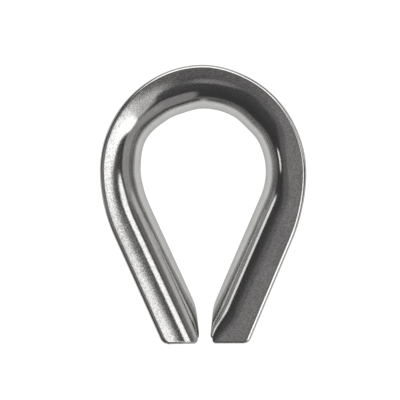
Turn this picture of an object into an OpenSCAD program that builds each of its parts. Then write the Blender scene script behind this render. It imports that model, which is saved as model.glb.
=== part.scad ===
// Wire rope thimble: one strip of sheet metal, pressed to a U and bent round the eye.
// It lies flat, as it does on a bench: the eye's axis is +Z, the crown is towards +Y
// and the two cut ends meet at the point, towards -Y. The lower flange rests on z = 0.

/* [Strip] */
// Thickness of the sheet metal
strip_t = 1.2; // [1:0.1:1.4]
// Radius of the rope groove: half the rope, and its clearance
groove_r = 4.25; // [4.1:0.05:4.4]

/* [Eye] */
// Width of the eye across its round end
eye_w = 20; // [19:0.5:21]
// Angle between each leg's throat and the centre line
leg_angle = 24; // [23:0.5:25]
// Gap between the two ends at the point
tip_gap = 1.7; // [1.2:0.1:2.2]
// Radius at which each leg turns parallel to the other at the point
tip_bend_r = 10; // [9.5:0.5:12]
// Distance from the eye's centre to the square-cut ends
tip_reach = 27.5; // [27:0.5:29]

/* [Flange edge] */
// Distance from the eye's centre to the flange edge at the crown
crown_reach = 16.9; // [16.7:0.1:17.1]
// Radius of the flange edge over the crown
crown_edge_r = 15.7; // [15.2:0.1:16]
// Distance from the centre line to the flange edge where it is widest
side_reach = 16.45; // [16.3:0.05:16.6]
// Radius of the flange edge from its widest place down to the legs
shoulder_edge_r = 25.5; // [24:0.5:27]
// Angle between the flange edge along each leg and the centre line
edge_angle = 23.5; // [23:0.5:24]
// Radius of the flanges' outer corners at the cut ends
corner_r = 1.3; // [0.8:0.1:1.6]
// How far the web stops short of the flanges at the cut ends
web_setback = 1.2; // [0.8:0.1:1.6]
// Height of each flange that is left where the web stops short
ear_h = 1.6; // [1.4:0.1:2]

/* [Hidden] */
$fn = 96;

// U section: outer radius of its back, and its full height
back_r = groove_r + strip_t;
section_w = 2 * back_r;
// The bent blank's flanges are this deep before they are trimmed to the flange edge
crown_blank_depth = 8.5;
leg_blank_depth = 9;
// Inner radius of the eye's round end
throat_r = eye_w / 2;
// The eye's centre lies this far above the middle of the overall length
centre_y = (tip_reach - crown_reach) / 2;

// Throat point where each straight leg ends and its turn at the point begins
bend_x = tip_gap / 2 + tip_bend_r * (1 - cos(leg_angle));
bend_y = -(throat_r - bend_x * cos(leg_angle)) / sin(leg_angle);
leg_len = (-bend_y - throat_r * sin(leg_angle)) / cos(leg_angle);
// Each turn at the point is swept on past the cut end, which trims it
tip_sweep = 70;
// The legs' walls are fuller than the crown's by this much on either side, and reach
// a little way into them, so that the two overlap
leg_fullness = 0.02;
leg_lap = 0.1;

// Flange edge: the side arcs touch the crown arc and are upright where they are widest
crown_edge_y = crown_reach - crown_edge_r;
side_edge_r = (pow(side_reach, 2) + pow(crown_edge_y, 2) - pow(crown_edge_r, 2))
              / (2 * (side_reach - crown_edge_r));
side_edge_x = side_reach - side_edge_r;
side_angle = atan2(crown_edge_y, -side_edge_x);
// Flange edge: where each shoulder arc runs into the straight edge of a leg
shoulder_edge_x = side_reach - shoulder_edge_r;
edge_offset = shoulder_edge_r + shoulder_edge_x * cos(edge_angle);
// Centre of the rounded corner between that straight edge and the cut end
corner_y = corner_r - tip_reach;
corner_x = (edge_offset - corner_r + corner_y * sin(edge_angle)) / cos(edge_angle);

// Points along an arc, one for about every four degrees
function arc(x, y, r, from, to) =
  let(steps = ceil(abs(to - from) / 4))
  [for (i = [0:steps]) let(a = from + (to - from) * i / steps) [x + r * cos(a), y + r * sin(a)]];

// The point that mirrors p across the centre line
function left_of(p) = [-p.x, p.y];

// Right-hand half of the flange edge, from the cut end up to the crown
half_edge = concat(
  arc(corner_x, corner_y, corner_r, -90, -edge_angle),
  arc(shoulder_edge_x, 0, shoulder_edge_r, -edge_angle, 0),
  arc(side_edge_x, 0, side_edge_r, 0, side_angle),
  arc(0, crown_edge_y, crown_edge_r, side_angle, 88)
);

// U section: x runs outward from the throat, y is the height above the rest plane
module u_section(depth, fullness) {
  outer_r = back_r + fullness;
  inner_r = groove_r + leg_fullness - fullness;
  translate([back_r, back_r])
    difference() {
      union() {
        circle(r = outer_r);
        translate([0, -outer_r]) square([depth - back_r, 2 * outer_r]);
      }
      circle(r = inner_r);
      translate([0, -inner_r]) square([depth, 2 * inner_r]);
    }
}

// Round end of the eye, up to where both legs begin
module crown_blank() {
  rotate_extrude(angle = 180 + 2 * leg_angle, start = -leg_angle)
    translate([throat_r, 0]) u_section(crown_blank_depth, 0);
}

// Right-hand leg, and its turn at the point
module leg_blank() {
  rotate([0, 0, -leg_angle]) {
    translate([throat_r, leg_lap, 0])
      rotate([90, 0, 0]) linear_extrude(height = leg_len + leg_lap)
        u_section(leg_blank_depth, leg_fullness);
    translate([throat_r + tip_bend_r, -leg_len, 0])
      rotate_extrude(angle = tip_sweep, start = 180)
        translate([tip_bend_r, 0]) mirror([1, 0]) u_section(leg_blank_depth, leg_fullness);
  }
}

// Outline that both flanges are trimmed to, seen along the eye's axis
module flange_outline() {
  half = len(half_edge);
  polygon([for (i = [0:2 * half - 1]) i < half ? half_edge[i] : left_of(half_edge[2 * half - 1 - i])]);
}

// Gap in the web at the cut ends, between the flanges
module web_notch() {
  translate([-side_reach, -tip_reach - 1, ear_h])
    cube([2 * side_reach, web_setback + 1, section_w - 2 * ear_h]);
}

module thimble_strip() {
  color([0.62, 0.61, 0.6])
    translate([0, centre_y, 0])
      difference() {
        intersection() {
          union() {
            crown_blank();
            leg_blank();
            mirror([1, 0, 0]) leg_blank();
          }
          linear_extrude(height = section_w) flange_outline();
        }
        web_notch();
      }
}

thimble_strip();
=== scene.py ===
"""Looks of the wire rope thimble.

The bent strip is one fine mesh of pressed stainless steel. It lies on a white table, and its polish
reflects a studio of soft panels.
"""
import math

import bpy
import numpy as np
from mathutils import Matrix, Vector


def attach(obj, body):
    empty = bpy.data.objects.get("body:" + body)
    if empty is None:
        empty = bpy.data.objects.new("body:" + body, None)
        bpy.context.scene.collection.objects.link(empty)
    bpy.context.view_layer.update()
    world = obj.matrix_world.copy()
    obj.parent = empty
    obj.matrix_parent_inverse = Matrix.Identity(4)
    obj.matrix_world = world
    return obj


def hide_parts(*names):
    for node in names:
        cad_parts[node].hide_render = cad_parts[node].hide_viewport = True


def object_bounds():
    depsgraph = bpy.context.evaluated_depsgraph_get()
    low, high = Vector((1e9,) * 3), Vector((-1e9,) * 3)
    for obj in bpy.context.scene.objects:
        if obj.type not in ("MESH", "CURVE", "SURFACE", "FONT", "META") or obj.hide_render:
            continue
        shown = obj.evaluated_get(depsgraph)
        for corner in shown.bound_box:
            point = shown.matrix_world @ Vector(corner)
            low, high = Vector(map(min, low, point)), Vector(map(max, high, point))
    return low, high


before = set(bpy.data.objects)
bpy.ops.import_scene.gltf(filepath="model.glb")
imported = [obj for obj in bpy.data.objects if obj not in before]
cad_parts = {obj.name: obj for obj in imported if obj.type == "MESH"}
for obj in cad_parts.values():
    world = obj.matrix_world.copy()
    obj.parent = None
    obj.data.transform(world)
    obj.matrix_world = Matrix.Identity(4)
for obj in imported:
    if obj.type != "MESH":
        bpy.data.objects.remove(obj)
cad_low, cad_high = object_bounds()
MM = 0.001

# ---------------------------------------------------------------- strip, in millimetres and degrees
SHEET = 1.2                     # thickness of the sheet
THROAT_R = 10.0                 # radius of the eye's round end
LEG_ANGLE = 24.0                # each leg's throat to the centre line
LEG_RUN = 30.0                  # each straight leg is drawn this long, on past its cut end
CROWN_REACH = 16.88             # eye's centre to the flange edge at the crown
CROWN_MARGIN = 0.02             # the crown stays this far inside the CAD model's
TIP_REACH = 27.44               # eye's centre to the cut ends
WEB_REACH = 26.3                # eye's centre to the cut end of the web
EDGE_ARCS = ((15.7, 25.5), (16.95, 64.5), (25.5, 23.5))   # flange edge: radius and turn of each arc
CORNER_R = 1.3                  # rounded corner of the flange at the cut end
THROAT_EASE, EDGE_EASE = 1.2, 0.3   # each line's curvatures run into one another over this length

SPLAY, LIP_SPLAY = 7.5, 3.0     # how far the flanges lean outward next to the bend, and at the lips
LIP_HEIGHT = 5.44               # the lips' highest point above the mid plane
LIP_SQUARENESS = 2.6            # 2 makes the lips round; more makes them flatter on top
WEB_FLAT = 0.12                 # half the width of the web's flat, between its bends
CUT_ROUND = 0.42                # rounding of the cut ends' edges

TIP_GAP = 1.7                   # gap between the two ends at the point
TIP_LEAN = 0.1                  # slope of the faces where the two legs are pressed flat towards each other
TIP_CREASE = 0.5                # softness of the crease round each of those faces
PRESS_FROM, PRESS_TO = 12, 10   # the pressing sets in between these distances before the cut end
EAR_STEP, EAR_STEP_LENGTH = 0.3, 0.4   # the flanges' ends stand back from the web's, over this length
NOTCH_FROM, NOTCH_TO = 44, 50   # part of the bend over which the web's cut end gives way to the flanges'
TIP_CORNER_R = 3.6              # the right leg's bend is pressed this tight at its cut end
SQUEEZE_FROM, SQUEEZE_TO = 7.5, 2   # it tightens between these distances before the cut end

# The right half's flange edge isn't quite the left's mirror image: each shift outward, and the
# distances from the crown, along the throat, between which it sets in
EDGE_FLAWS = ((-0.17, 0, 4), (0.17, 11, 17), (0.2, 17, 25))
# The round end isn't quite round: half (0 left, 1 right), distance from the crown, half length, shift outward
EYE_FLAWS = ((0, 10.5, 4.5, 0.4), (0, 3.0, 3.0, -0.17), (0, 18.0, 3.5, -0.14), (1, 8.0, 3.0, -0.18))

# Centre of the eye, in millimetres in the frame
EYE_CENTRE = (0, cad_high.y / MM - CROWN_REACH - CROWN_MARGIN, (cad_low.z + cad_high.z) / 2 / MM)

# ---------------------------------------------------------------- mesh density
BODY_STATIONS = 150             # sections along half of the strip, up to the point
TIP_STATIONS = 60               # sections from there to the cut end
TIP_LENGTH = 2.5                # length of that last part, at the lips
END_CROWDING = 1.8              # above 1, its sections lie closer together at the cut end
WEB_POINTS = 8                  # points on half of the web's flat
BEND_POINTS = 32                # points on a bend
FLANGE_POINTS = 8               # points on a flange
LIP_POINTS = 17                 # points round a lip


# ---------------------------------------------------------------- lines in plan
def smooth(x):
    """0 up to 0, a smooth rise, and 1 from 1 on."""
    x = np.clip(x, 0, 1)
    return x * x * (3 - 2 * x)


def between(x, start, end):
    """0 up to start, a smooth rise, and 1 from end on."""
    return smooth((x - start) / (end - start))


def arc(radius, turn):
    """One (length, turn) piece of a line: an arc."""
    return radius * math.radians(abs(turn)), turn


def turned_line(pieces, start, ease):
    """A line of (length, turn) pieces, which leaves start towards +X and turns to the right.

    ease is the length over which one curvature runs into the next. Returns arc length, points and
    headings.
    """
    step = 0.02
    s = np.arange(-2 * ease, sum(length for length, _ in pieces), step)
    ends = np.cumsum([length for length, _ in pieces])
    bends = np.array([math.radians(turn) / length for length, turn in pieces])
    curvature = bends[np.clip(np.searchsorted(ends, np.abs(s)), 0, len(pieces) - 1)]
    window = np.hanning(int(2 * ease / step))
    curvature = np.convolve(curvature, window / window.sum(), mode="same")
    first = np.searchsorted(s, 0)
    s, curvature = s[first:], curvature[first:]
    heading = -np.concatenate(([0], np.cumsum(curvature[:-1]) * step))
    middle = (heading[:-1] + heading[1:]) / 2
    x = start[0] + np.concatenate(([0], np.cumsum(np.cos(middle)) * step))
    y = start[1] + np.concatenate(([0], np.cumsum(np.sin(middle)) * step))
    return s, np.stack([x, y], 1), heading


# Throat line of the right half: round end and straight leg
throat_s, throat_xy, throat_heading = turned_line(
    [arc(THROAT_R, 90 + LEG_ANGLE), (LEG_RUN, 0)], (0, THROAT_R), THROAT_EASE)

# Flange edge of the right half: three arcs, the straight edge of the leg, and the corner at the cut end
edge_angle = math.radians(EDGE_ARCS[2][1])
arcs_drop = EDGE_ARCS[2][0] * math.sin(edge_angle)
corner_drop = CORNER_R * (1 - math.sin(edge_angle))
edge_straight = (TIP_REACH - arcs_drop - corner_drop) / math.cos(edge_angle)
corner_arc = arc(CORNER_R, 90 - EDGE_ARCS[2][1])
edge_s, edge_xy, _ = turned_line(
    [arc(*a) for a in EDGE_ARCS] + [(edge_straight, 0), corner_arc], (0, CROWN_REACH), EDGE_EASE)


def outward(s):
    """Direction from the throat to the flange edge, square to the throat."""
    heading = np.interp(s, throat_s, throat_heading)
    return np.stack([-np.sin(heading), np.cos(heading)], -1)


def edge_depths():
    """Distance from the throat to the flange edge at each point of the throat line."""
    every = 8  # points of the throat line from one measured depth to the next
    depths = []
    for point, way in zip(throat_xy[::every], outward(throat_s[::every])):
        ahead = edge_xy - point
        reach = ahead @ way
        side = ahead[:, 0] * way[1] - ahead[:, 1] * way[0]
        crossing = np.flatnonzero(((side[:-1] > 0) != (side[1:] > 0)) & (reach[1:] > 0))
        if len(crossing):
            k = crossing[0]
            t = side[k] / (side[k] - side[k + 1])
            depths.append(reach[k] * (1 - t) + reach[k + 1] * t)
        else:
            depths.append(depths[-1])
    return np.interp(throat_s, throat_s[::every], depths)


edge_depth = edge_depths()
leg_end = np.interp(TIP_REACH, -throat_xy[:, 1], throat_s)
# Depth as it would be without the rounded corner, which starts here: it sets the shape of the section
corner = edge_xy[np.searchsorted(edge_s, edge_s[-1] - corner_arc[0] - EDGE_EASE)]
edge_opposite = throat_xy + outward(throat_s) * edge_depth[:, None]
corner_s = throat_s[np.argmin(np.linalg.norm(edge_opposite - corner, axis=1))]
plain_depth = np.where(throat_s < corner_s, edge_depth, np.interp(corner_s, throat_s, edge_depth))


def throat_shift(s, right):
    """How far the throat lies outward of the true line at the arc lengths s of one half."""
    return sum(shift * smooth(1 - abs(s - at) / half)
               for side, at, half, shift in EYE_FLAWS if side == right)


# ---------------------------------------------------------------- section
def half_section():
    """The upper half of the section, from the web's middle round the lip and back.

    Each point has its kind, its place on that kind from 0 to 1, and its side of the sheet: 1 on the
    outside, -1 in the groove, and 0 on the lip, which goes from the one to the other.
    """
    rows = [("web", t, 1) for t in np.linspace(0, 1, WEB_POINTS, endpoint=False)]
    rows += [("bend", t, 1) for t in np.linspace(0, 1, BEND_POINTS, endpoint=False)]
    rows += [("flange", t, 1) for t in np.linspace(0, 1, FLANGE_POINTS, endpoint=False)]
    lip = [("lip", t, 0) for t in np.linspace(0, 1, LIP_POINTS)]
    return rows + lip + [(kind, t, -1) for kind, t, _ in reversed(rows)]


SECTION = half_section()
splay, lip_splay = math.radians(SPLAY), math.radians(LIP_SPLAY)
# The flange climbs this much for each millimetre outward
rise = (math.tan(splay) + math.tan(lip_splay)) / 2


def section_points(s, row, right, end=math.inf):
    """Places of one section point at the arc lengths s of one half, whose sheet is cut at end.

    Returns the depth outward from the throat, the height, and how deep in the sheet the point lies.
    """
    kind, t, side = row
    half = SHEET / 2
    squeeze = right * between(s, leg_end - SQUEEZE_FROM, leg_end - SQUEEZE_TO)
    extra = right * sum(shift * between(s, start, full) for shift, start, full in EDGE_FLAWS)
    extra = extra - throat_shift(s, right) - half - half * math.sin(lip_splay)
    # Where the flange's flat meets the lip
    cut_back = np.interp(s, throat_s, edge_depth) + extra
    flat_end = np.interp(s, throat_s, plain_depth) + extra
    # The radius at which the bend and the flange together take up the whole height
    height = LIP_HEIGHT - half + half * math.cos(lip_splay) - flat_end * rise
    per_radius = math.cos(splay) - (1 - math.sin(splay)) * rise
    radius = (height - WEB_FLAT) / per_radius * (1 - squeeze) + TIP_CORNER_R * squeeze
    web_half = height - radius * per_radius
    # The sheet's two sides close in to the middle of it at the cut, to round its edges
    left = np.clip(CUT_ROUND - (end - s), 0, CUT_ROUND)
    inset = CUT_ROUND - np.sqrt(CUT_ROUND ** 2 - left ** 2)
    if kind == "web":
        tilt = math.pi / 2
        place = (0 * s, web_half * t)
    elif kind == "bend":
        tilt = math.pi / 2 - t * (math.pi / 2 - splay)
        place = (radius * (1 - math.sin(tilt)), web_half + radius * math.cos(tilt))
    else:
        start = radius * (1 - math.sin(splay))
        t = (1.0 if kind == "lip" else t) * (cut_back - start) / (flat_end - start)
        tilt = splay + t * (lip_splay - splay)
        climb = t * math.tan(splay) + t * t / 2 * (math.tan(lip_splay) - math.tan(splay))
        foot = web_half + radius * math.cos(splay)
        place = (start + (flat_end - start) * t, foot + (flat_end - start) * climb)
    normal = (-np.sin(tilt), np.cos(tilt))
    ahead = (np.cos(tilt), np.sin(tilt))
    if kind == "lip":
        turn = math.pi * row[1]
        over = math.copysign(abs(math.cos(turn)) ** (2 / LIP_SQUARENESS), math.cos(turn))
        out = abs(math.sin(turn)) ** (2 / LIP_SQUARENESS)
        x, z = (place[k] - half * normal[k] + (half - inset) * (over * normal[k] + out * ahead[k])
                for k in (0, 1))
        return x, z, half
    sunk = inset if side > 0 else SHEET - inset
    return place[0] - sunk * normal[0], place[1] - sunk * normal[1], sunk


def plan_points(s, row, right, end=math.inf):
    """The same points in plan, seen along the eye's axis, with their heights."""
    x, z, sunk = section_points(s, row, right, end)
    origin = np.stack([np.interp(s, throat_s, throat_xy[:, k]) for k in (0, 1)], -1)
    plan = origin + outward(s) * (x + throat_shift(s, right))[:, None]
    # Both legs are pressed flat against the plane between them, as far as the sheet's thickness lets them
    face = TIP_GAP / 2 + TIP_LEAN * np.maximum(WEB_REACH + plan[:, 1], 0) + sunk
    face += EAR_STEP * between(-plan[:, 1], WEB_REACH, WEB_REACH + EAR_STEP_LENGTH)
    past = plan[:, 0] - face
    pressed = face + (past + np.sqrt(past ** 2 + TIP_CREASE ** 2 / 4)) / 2
    plan[:, 0] += (pressed - plan[:, 0]) * between(s, leg_end - PRESS_FROM, leg_end - PRESS_TO)
    return np.column_stack([plan, z])


def end_of(row, right):
    """Arc length at which the sheet is cut at this section point: the web stops short of the flanges."""
    kind, t, _ = row
    tilt = 90 - t * (90 - SPLAY) if kind == "bend" else 0
    short = 1.0 if kind == "web" else float(between(tilt, NOTCH_FROM, NOTCH_TO))
    reach = TIP_REACH + short * (WEB_REACH - TIP_REACH)
    # The cut is looked for from 10 mm before the throat's end to 3 mm past it
    s = np.linspace(leg_end - 10, leg_end + 3, 400)
    return np.interp(reach, -plan_points(s, row, right, s)[:, 1], s)


def flatness(row):
    """0 on the web, rising over the bend to 1, then over the flange to 2, which the lip keeps."""
    kind, t, _ = row
    return {"web": 0.0, "bend": t, "flange": 1 + t, "lip": 2.0}[kind]


# ---------------------------------------------------------------- mesh
def half_strip(right):
    """Points of one half, drawn as the right one: stations from the crown to the cut end by section
    points, upper half only. The last stations fan out from square across the leg to along the cut."""
    body_end = end_of(("lip", 0.5, 0), right) - TIP_LENGTH
    body = np.linspace(0, body_end, BODY_STATIONS, endpoint=False)
    to_end = 1 - (1 - np.linspace(0, 1, TIP_STATIONS)) ** END_CROWDING
    columns = []
    for row in SECTION:
        end = end_of(row, right)
        s = np.concatenate([body, body_end + (end - body_end) * to_end])
        columns.append(plan_points(s, row, right, end))
    return np.stack(columns, 1)


def strip_rings():
    """Points of the whole strip round the eye's centre: rings across it, from cut end to cut end."""
    halves = []
    for right in (0, 1):
        upper = half_strip(right)
        lower = upper[:, -2:0:-1] * (1, 1, -1)
        halves.append(np.concatenate([upper, lower], 1))
    return np.concatenate([halves[0][:0:-1] * (-1, 1, 1), halves[1]], 0)


def strip_faces(count, loop):
    """Faces of the strip, which has so many rings of so many points: its surface and its cut ends."""
    faces = []
    for i in range(count - 1):
        for j in range(loop):
            k = (j + 1) % loop
            faces.append((i * loop + j, i * loop + k, (i + 1) * loop + k, (i + 1) * loop + j))
    # Cut ends: quads between the sheet's two sides, and one face in each lip
    n, m = len(SECTION), WEB_POINTS + BEND_POINTS + FLANGE_POINTS
    for base, way in ((0, 1), ((count - 1) * loop, -1)):
        strips = [(j, n - 1 - j) for j in range(m)]
        for a, b in zip(strips[:-1], strips[1:]):
            faces.append(tuple(base + v for v in (a[0], a[1], b[1], b[0])[::way]))
            low = [(loop - v) % loop for v in (b[0], b[1], a[1], a[0])]
            faces.append(tuple(base + v for v in low[::way]))
        lip = list(range(m - 1, n - m + 1))
        faces.append(tuple(base + v for v in lip[::-way]))
        faces.append(tuple(base + (loop - v) % loop for v in lip[::way]))
    return faces


def sheet_places(rings):
    """Where each point lies on the sheet: how far along the strip, and how far across it from the web's
    middle, in millimetres, and its flatness."""
    count, loop = rings.shape[:2]
    along = np.linalg.norm(np.diff(rings, axis=0), axis=2).mean(1)
    along = np.repeat(np.concatenate(([0], np.cumsum(along))), loop)
    girth = np.linalg.norm(np.diff(rings, axis=1, append=rings[:, :1]), axis=2)
    around = girth.sum(1, keepdims=True)
    girth = np.concatenate([np.zeros((count, 1)), np.cumsum(girth, 1)[:, :-1]], 1)
    girth = np.minimum(girth, around - girth).ravel()
    rows = [flatness(row) for row in SECTION]
    return {"along": along, "girth": girth, "flange": np.tile(rows + rows[-2:0:-1], count)}


def strip_mesh():
    """The whole strip as one closed mesh, with each point's place on the sheet for the material."""
    rings = strip_rings()
    points = rings.reshape(-1, 3) + EYE_CENTRE
    mesh = bpy.data.meshes.new("thimble_strip_fine")
    mesh.from_pydata([Vector(p) * MM for p in points], [], strip_faces(*rings.shape[:2]))
    for name, values in sheet_places(rings).items():
        attribute = mesh.attributes.new(name, "FLOAT", "POINT")
        attribute.data.foreach_set("value", values.astype(np.float32))
    mesh.update()
    return mesh


strip = bpy.data.objects.new("thimble_strip_fine", strip_mesh())
bpy.context.collection.objects.link(strip)
for polygon in strip.data.polygons:
    polygon.use_smooth = True
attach(strip, "root")
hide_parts("thimble_strip")


# ---------------------------------------------------------------- node helpers
def node(tree, kind, values=(), **settings):
    """A new node with its settings, and its inputs by name or number: a value, or the output that
    feeds it."""
    made = tree.nodes.new(kind)
    for name, value in settings.items():
        setattr(made, name, value)
    for key, value in dict(values).items():
        if isinstance(value, bpy.types.NodeSocket):
            tree.links.new(value, made.inputs[key])
        else:
            made.inputs[key].default_value = value
    return made


def maths(tree, operation, a, b=0.0):
    """Output of an operation on one or two values."""
    return node(tree, "ShaderNodeMath", {0: a, 1: b}, operation=operation).outputs[0]


def ramp(tree, value, low, high, start=0.0, end=1.0):
    """start up to low, a smooth change, and end from high on."""
    values = {"Value": value, "From Min": low, "From Max": high, "To Min": start, "To Max": end}
    return node(tree, "ShaderNodeMapRange", values, interpolation_type="SMOOTHSTEP").outputs["Result"]


def mix(tree, factor, a, b, **settings):
    """Output of a mix of two colours."""
    values = {"Factor": factor, "A": a, "B": b}
    return node(tree, "ShaderNodeMix", values, data_type="RGBA", **settings).outputs["Result"]


# ---------------------------------------------------------------- steel
DARK_STEEL = (0.45, 0.447, 0.438, 1)
PALE_STEEL = (0.515, 0.513, 0.505, 1)
# Tint of the reflection at grazing angles: partly the steel's own, partly painted shade, set dark to stand in
# for the table's shadow next to the strip, which shows in the polish at the silhouette
GRAZING_SHADE_TINT = (0.6, 0.6, 0.59, 1)
STREAK_STRETCH = 25             # streaks are this many times as long as they are wide
BURNISHED = 0.055               # roughness of the bend, which is the smoothest place
STREAK_DEPTH, PORE_DEPTH, NICK_DEPTH = 0.003, 0.0012, 0.0025   # relief, in millimetres


def steel():
    """Cold-pressed stainless steel: drawn streaks in the throat, fine peel on the flanges, worn lips."""
    material = bpy.data.materials.new("pressed_stainless_steel")
    material.use_nodes = True
    tree = material.node_tree
    shader = tree.nodes["Principled BSDF"]
    place = node(tree, "ShaderNodeTexCoord").outputs["Object"]
    flange, along, girth = (node(tree, "ShaderNodeAttribute", attribute_name=name).outputs["Fac"]
                            for name in ("flange", "along", "girth"))

    def noise(scale, detail=3.0, vector=place, unit=MM):
        """Noise with so many features to the millimetre."""
        values = {"Vector": vector, "Scale": scale / unit, "Detail": detail}
        return node(tree, "ShaderNodeTexNoise", values).outputs["Fac"]

    def times(a, b):
        return maths(tree, "MULTIPLY", a, b)

    def plus(a, b):
        return maths(tree, "ADD", a, b)

    # Streaks run along the strip: long in that direction, fine across it, and not the same above and below
    up = node(tree, "ShaderNodeSeparateXYZ", {0: place}).outputs["Z"]
    on_sheet = {0: times(along, 1 / STREAK_STRETCH), 1: girth, 2: times(up, 0.3 / MM)}
    streaks = noise(2.6, 4.0, node(tree, "ShaderNodeCombineXYZ", on_sheet).outputs[0], 1)
    # Where the peel shows: on the flanges, and faintly on their lips; the streaks are everywhere else
    peeled = times(ramp(tree, flange, 0.45, 1), ramp(tree, flange, 1.9, 2, 1, 0.25))
    drawn = ramp(tree, flange, 0.5, 1.1, 1, 0.15)
    worn = ramp(tree, flange, 1.93, 2)
    mottle = noise(0.35)
    clouds = noise(1.8)
    pores = ramp(tree, noise(5.5, 1.5), 0.42, 0.78)
    specks = ramp(tree, noise(4.2, 1.5), 0.3, 0.7, -1.5, 1.5)
    nicks = noise(3.5, 3.0)
    scuffs = ramp(tree, noise(2.5, 4.0), 0.45, 0.7, 0, 0.05)

    # Colour: slow mottling and streaks, with the peel's specks on top
    tone = plus(times(mottle, 0.4), plus(times(clouds, 0.3), times(streaks, 0.3)))
    tone = plus(ramp(tree, tone, 0.35, 0.65), times(peeled, specks))
    tree.links.new(mix(tree, tone, DARK_STEEL, PALE_STEEL, clamp_factor=False), shader.inputs["Base Color"])
    shader.inputs["Metallic"].default_value = 1
    # Painted shade: the grazing tint darkens the reflection at the silhouette, in place of the table's
    # missing contact shadow
    shader.inputs["Specular Tint"].default_value = GRAZING_SHADE_TINT
    # Roughness: streaks and peel dull the burnished bend, and the throat and the lips' scuffs are duller
    rough = plus(BURNISHED, times(mottle, 0.03))
    rough = plus(rough, times(peeled, 0.03))
    rough = plus(rough, times(times(drawn, streaks), 0.05))
    rough = plus(rough, ramp(tree, flange, 0.5, 0.65, 0.09, 0))
    rough = plus(rough, times(worn, scuffs))
    tree.links.new(rough, shader.inputs["Roughness"])
    # Relief: streaks, then the peel's pores, then small nicks along the lips
    values = {"Height": streaks, "Distance": STREAK_DEPTH * MM, "Strength": drawn}
    relief = node(tree, "ShaderNodeBump", values)
    for height, depth, where in ((pores, PORE_DEPTH, peeled), (nicks, NICK_DEPTH, worn)):
        values = {"Height": height, "Distance": depth * MM, "Strength": where,
                  "Normal": relief.outputs["Normal"]}
        relief = node(tree, "ShaderNodeBump", values)
    tree.links.new(relief.outputs["Normal"], shader.inputs["Normal"])
    return material


strip.data.materials.append(steel())

# ---------------------------------------------------------------- table
TABLE_SIZE = 4                  # in metres
TABLE_GLOW = 1.05               # light that it gives off itself, so that it shows white all over
bpy.ops.mesh.primitive_plane_add(size=TABLE_SIZE, location=(0, 0, 0))
table = bpy.context.object
table.name = "table"
white = bpy.data.materials.new("white_table")
white.use_nodes = True
board = white.node_tree.nodes["Principled BSDF"]
board.inputs["Base Color"].default_value = (0.08, 0.08, 0.08, 1)
board.inputs["Roughness"].default_value = 0.9
board.inputs["Emission Color"].default_value = (1, 1, 1, 1)
board.inputs["Emission Strength"].default_value = TABLE_GLOW
table.data.materials.append(white)

# ---------------------------------------------------------------- camera: straight down, as on a copy stand
CAMERA_HEIGHT = 0.6             # above the strip's mid plane
FRAME_WIDTH = 0.064             # what the frame takes in at the mid plane
ROLL = math.radians(-0.63)
EYE_OFFSET = (0.5, 4.6)         # eye's centre from the middle of the frame, in millimetres
camera_data = bpy.data.cameras.new("camera")
camera_data.lens = camera_data.sensor_width * CAMERA_HEIGHT / FRAME_WIDTH
camera_data.clip_start = 0.01
camera_data.clip_end = 10
camera = bpy.data.objects.new("camera", camera_data)
bpy.context.collection.objects.link(camera)
frame_right = Vector((math.cos(ROLL), math.sin(ROLL), 0))
frame_up = Vector((-math.sin(ROLL), math.cos(ROLL), 0))
aim = Vector(EYE_CENTRE) * MM - frame_right * EYE_OFFSET[0] * MM - frame_up * EYE_OFFSET[1] * MM
camera.location = aim + Vector((0, 0, CAMERA_HEIGHT))
camera.rotation_euler = (0, 0, ROLL)
bpy.context.scene.camera = camera

# ---------------------------------------------------------------- studio
# Soft panels round the strip, for its polish to reflect: bearing from +X, angle from overhead,
# half width, half height, turn of the height's axis (all in degrees), and strength
PANELS = (
    (-22, 15, 4.7, 12.5, -21, 1.9),
    (-30, 34, 6.9, 21, -12, 2.4),
    (-45, 30, 5.8, 20, 0, 0.85),
    (20, 37, 6.3, 12, -40, 1.95),
    (93, 40, 19, 22, 0, 2.3),
    (52, 28, 7, 15, 0, 2.3),
    (-20, 66, 38, 14, 0, 0.5),
    (28, 77, 14, 9, 0, 0.8),
    (-62, 69, 19, 17, 0, 0.4),
    (-97, 20, 6, 7, 0, 0.34),
    (184, 22, 7.5, 20, 0, 0.33),
    (184, 26, 15, 30, 0, 0.2),
    (152, 69, 8, 5, 0, 1.5),
    (152, 84, 13, 8, 0, 0.45),
    (24, 56, 10, 5, 0, 0.24),
    (187, 67, 7.5, 3, 0, 1.7),
)
PANEL_SQUARENESS = 3            # 2 makes the panels oval; more makes them squarer
FADE_FROM, FADE_TO = 0.5, 1.7   # a panel fades out between these, where 1 is its outline
ROOM_TINT = (1, 0.965, 0.98, 1)
WHITE = (1, 1, 1, 1)


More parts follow.
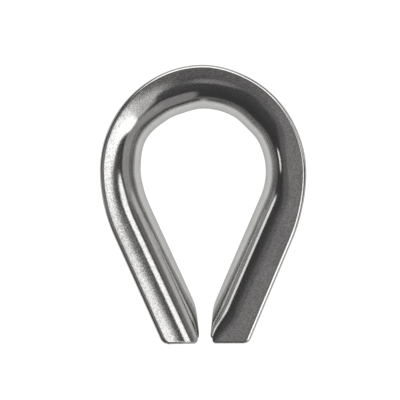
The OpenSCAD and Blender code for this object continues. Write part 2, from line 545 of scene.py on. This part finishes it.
def panel_light(tree, way, bearing, down, half_width, half_height, turn, strength):
    """What one panel sends from the direction way."""
    b, d, t = math.radians(bearing), math.radians(down), math.radians(turn)
    centre = Vector((math.sin(d) * math.cos(b), math.sin(d) * math.sin(b), math.cos(d)))
    around = Vector((-math.sin(b), math.cos(b), 0))
    downward = around.cross(centre)
    width_axis = around * math.cos(t) - downward * math.sin(t)
    height_axis = downward * math.cos(t) + around * math.sin(t)
    # How far from the panel's middle the direction is: 1 on the outline
    past = 0.0
    for axis, half in ((width_axis, half_width), (height_axis, half_height)):
        values = {0: way, 1: axis / math.radians(half)}
        off = node(tree, "ShaderNodeVectorMath", values, operation="DOT_PRODUCT").outputs["Value"]
        off = maths(tree, "POWER", maths(tree, "ABSOLUTE", off), PANEL_SQUARENESS)
        past = maths(tree, "ADD", past, off)
    # Not on the opposite side of the sky
    ahead = node(tree, "ShaderNodeVectorMath", {0: way, 1: centre}, operation="DOT_PRODUCT").outputs["Value"]
    ahead = maths(tree, "GREATER_THAN", ahead, 0)
    return maths(tree, "MULTIPLY", ramp(tree, past, FADE_FROM, FADE_TO, strength, 0), ahead)


def studio():
    """The room and its panels, which light the strip and show in its polish. The camera itself sees white."""
    world = bpy.data.worlds.new("studio")
    bpy.context.scene.world = world
    world.use_nodes = True
    tree = world.node_tree
    way = node(tree, "ShaderNodeTexCoord").outputs["Generated"]
    height = node(tree, "ShaderNodeSeparateXYZ", {0: way}).outputs["Z"]
    # The room: dim overhead, darker lower down, a paler band above the table's horizon
    overhead = ramp(tree, height, 0.5, 0.98, 0.075, 0.11)
    horizon = ramp(tree, height, 0.05, 0.25, 0.22, 0)
    glow = maths(tree, "ADD", overhead, horizon)
    for panel in PANELS:
        glow = maths(tree, "MAXIMUM", glow, panel_light(tree, way, *panel))
    tint = mix(tree, glow, ROOM_TINT, WHITE)
    tinted = mix(tree, 1, tint, glow, blend_type="MULTIPLY")
    eye_ray = node(tree, "ShaderNodeLightPath").outputs["Is Camera Ray"]
    tree.links.new(mix(tree, eye_ray, tinted, WHITE), tree.nodes["Background"].inputs["Color"])


studio()
bpy.context.scene.view_settings.view_transform = "Standard"
